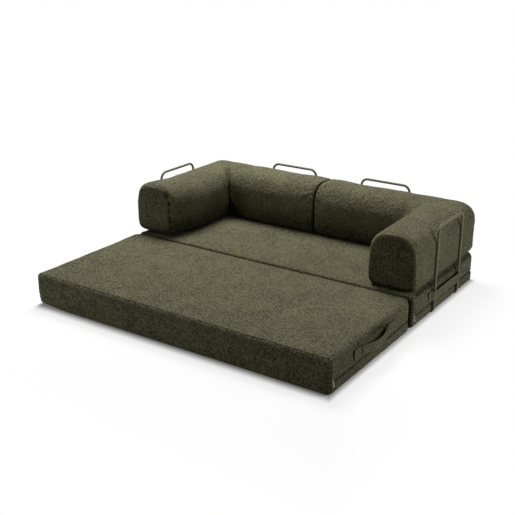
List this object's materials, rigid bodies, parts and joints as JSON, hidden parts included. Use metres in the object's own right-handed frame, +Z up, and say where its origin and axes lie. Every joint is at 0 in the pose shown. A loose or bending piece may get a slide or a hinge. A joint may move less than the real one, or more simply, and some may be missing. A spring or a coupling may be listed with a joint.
{
  "type": "fold-out sofa bed",
  "caption": "Foam floor sofa bed: a mattress folds over a rear base on a tape hinge, with L-shaped corner bolsters held by bent tube hoops and straps.",
  "frame": {"origin": "middle of the bounding box's floor rectangle, with the bed laid out flat", "axes": "+X across the width, to the right as someone standing at the foot of the bed sees it; +Y from the front mattress to the back bolster; +Z up"},
  "size_m": [2.1306, 1.9314, 0.563],
  "materials": {
    "cover_fabric": "olive green looped teddy cloth",
    "underside_fabric": "dark non-slip backing cloth",
    "comfort_foam": "soft open-cell foam",
    "support_foam": "firm open-cell foam",
    "zip_tape": "woven polyester tape",
    "zip_coil": "dark nylon coil",
    "zip_metal": "plated metal",
    "hinge_tape": "woven tape",
    "webbing": "strap in the cover's cloth",
    "steel_tube": "olive powder coat, satin",
    "plug_plastic": "moulded plastic"
  },
  "bodies": {
    "base": {"base_top_cover": "cover_fabric", "base_front_panel": "cover_fabric", "base_bottom_cover": "cover_fabric", "base_comfort_foam": "comfort_foam", "base_support_foam": "support_foam", "base_zip_tape": "zip_tape", "base_zip_chain": "zip_coil", "base_hinge_tape": "hinge_tape", "hoop_right": "steel_tube", "strap_right": "webbing", "hoop_left": "steel_tube", "strap_left": "webbing", "hoop_back_right": "steel_tube", "strap_back_right": "webbing", "hoop_back_left": "steel_tube", "strap_back_left": "webbing", "hoop_end_plugs": "plug_plastic"},
    "mattress": {"mattress_top_cover": "cover_fabric", "mattress_front_panel": "cover_fabric", "mattress_bottom_cover": "cover_fabric", "mattress_comfort_foam": "comfort_foam", "mattress_support_foam": "support_foam", "mattress_zip_tape": "zip_tape", "mattress_zip_chain": "zip_coil", "mattress_hinge_tape": "hinge_tape", "handle_patches": "webbing"},
    "handle_right": {"handle_loop_right": "webbing"},
    "handle_left": {"handle_loop_left": "webbing"},
    "mattress_slider": {"mattress_zip_slider": "zip_metal"},
    "mattress_pull": {"mattress_zip_pull": "zip_metal"},
    "base_slider": {"base_zip_slider": "zip_metal"},
    "base_pull": {"base_zip_pull": "zip_metal"},
    "bolster_right": {"bolster_right_cover": "cover_fabric", "bolster_right_arm_panel": "cover_fabric", "bolster_right_back_panel": "cover_fabric", "bolster_right_underside": "underside_fabric", "bolster_right_foam": "support_foam"},
    "bolster_left": {"bolster_left_cover": "cover_fabric", "bolster_left_arm_panel": "cover_fabric", "bolster_left_back_panel": "cover_fabric", "bolster_left_underside": "underside_fabric", "bolster_left_foam": "support_foam"}
  },
  "joints": [
    {"name": "fold", "type": "hinge", "parent": "base", "child": "mattress", "pos_m": [0, -0.01765, 0.2085], "axis": [-1, 0, 0], "range_deg": [0, 180]},
    {"name": "bolster_right_lift", "type": "slide", "parent": "base", "child": "bolster_right", "axis": [0, 0, 1], "range_m": [0, 1.9]},
    {"name": "bolster_left_lift", "type": "slide", "parent": "base", "child": "bolster_left", "axis": [0, 0, 1], "range_m": [0, 1.9]},
    {"name": "handle_right_swing", "type": "hinge", "parent": "mattress", "child": "handle_right", "pos_m": [1.0383, -0.48365, 0.157], "axis": [0, -1, 0], "range_deg": [0, 90]},
    {"name": "handle_left_swing", "type": "hinge", "parent": "mattress", "child": "handle_left", "pos_m": [-1.0383, -0.48365, 0.157], "axis": [0, 1, 0], "range_deg": [0, 90]},
    {"name": "mattress_zip_slide", "type": "slide", "parent": "mattress", "child": "mattress_slider", "axis": [0, 1, 0], "range_m": [0, 0.81]},
    {"name": "mattress_pull_swing", "type": "hinge", "parent": "mattress_slider", "child": "mattress_pull", "pos_m": [1.0359, -0.92165, 0.068], "axis": [0, -1, 0], "range_deg": [0, 150]},
    {"name": "base_zip_slide", "type": "slide", "parent": "base", "child": "base_slider", "axis": [0, 1, 0], "range_m": [0, 0.81]},
    {"name": "base_pull_swing", "type": "hinge", "parent": "base_slider", "child": "base_pull", "pos_m": [1.0359, 0.03435, 0.068], "axis": [0, -1, 0], "range_deg": [0, 150]}
  ],
  "couplings": [
    {"joint": "bolster_right_lift", "follows": "fold", "m_per_rad": 0.6045},
    {"joint": "bolster_left_lift", "follows": "fold", "m_per_rad": 0.6045}
  ]
}
